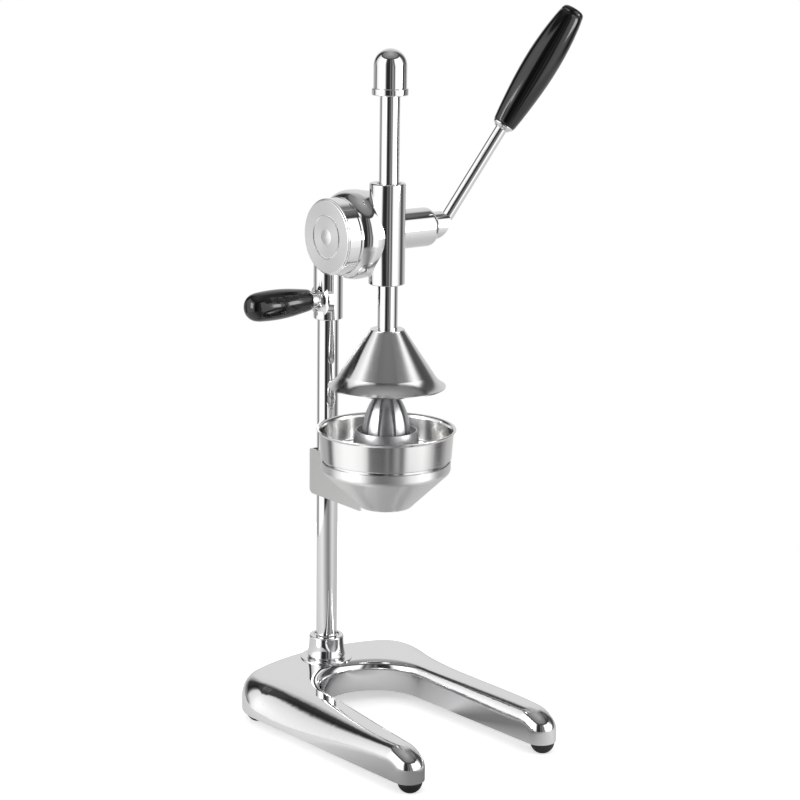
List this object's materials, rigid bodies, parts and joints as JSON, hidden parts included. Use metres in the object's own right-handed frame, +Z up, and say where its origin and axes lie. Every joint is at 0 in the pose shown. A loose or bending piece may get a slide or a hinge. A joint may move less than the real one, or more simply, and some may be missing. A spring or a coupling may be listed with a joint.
{
  "type": "lever citrus juice press",
  "caption": "Free-standing lever press for citrus halves: geared side lever drives a ram and cup down over a reamer and strainer bowl on a column and forked base.",
  "frame": {"origin": "middle of the whole press's footprint, on the surface that the feet stand on", "axes": "+Z up along the column, +X towards the lever's side, -Y towards the front where the legs point"},
  "size_m": [0.3064, 0.2762, 0.6622],
  "materials": {
    "chrome": "polished",
    "satin_steel": "satin",
    "spun_steel": "satin",
    "bracket_steel": "satin",
    "cast_aluminium": "cast",
    "black_plastic": "gloss",
    "black_rubber": "matte",
    "bronze": "plain",
    "plain_steel": "plain"
  },
  "bodies": {
    "frame": {"base": "chrome", "foot_front_left": "black_rubber", "foot_front_right": "black_rubber", "foot_rear_left": "black_rubber", "foot_rear_right": "black_rubber", "column": "chrome", "column_socket": "chrome", "column_plug": "plain_steel", "column_washer": "plain_steel", "column_bolt": "plain_steel", "head_housing": "chrome", "head_set_screw": "plain_steel", "gear_cover": "satin_steel", "cover_button": "satin_steel", "shaft_bush_left": "bronze", "shaft_bush_inner": "bronze", "shaft_bush_outer": "bronze", "guide_bush_lower": "bronze", "guide_bush_upper": "bronze", "steady_stud": "plain_steel", "steady_grip": "black_plastic", "strainer_bowl": "spun_steel", "reamer": "cast_aluminium", "funnel": "spun_steel", "bowl_bracket": "bracket_steel", "bracket_screws": "plain_steel"},
    "lever": {"pinion_shaft": "plain_steel", "shaft_key": "plain_steel", "retaining_ring": "plain_steel", "pinion": "plain_steel", "lever_hub": "chrome", "hub_set_screw": "plain_steel", "lever_rod": "chrome", "lever_ferrule": "chrome", "lever_grip": "black_plastic", "grip_cap": "black_plastic"},
    "ram": {"ram": "chrome", "ram_cap": "chrome", "press_cup": "spun_steel", "cup_washer": "plain_steel", "cup_screw": "plain_steel"}
  },
  "joints": [
    {"name": "lever_turn", "type": "hinge", "parent": "frame", "child": "lever", "pos_m": [0, 0.0424, 0.4623], "axis": [1, 0, 0], "range_deg": [-80, 84]},
    {"name": "ram_slide", "type": "slide", "parent": "frame", "child": "ram", "axis": [0, 0, 1], "range_m": [-0.0353, 0.0336]}
  ],
  "couplings": [
    {"joint": "ram_slide", "follows": "lever_turn", "m_per_rad": -0.024}
  ]
}
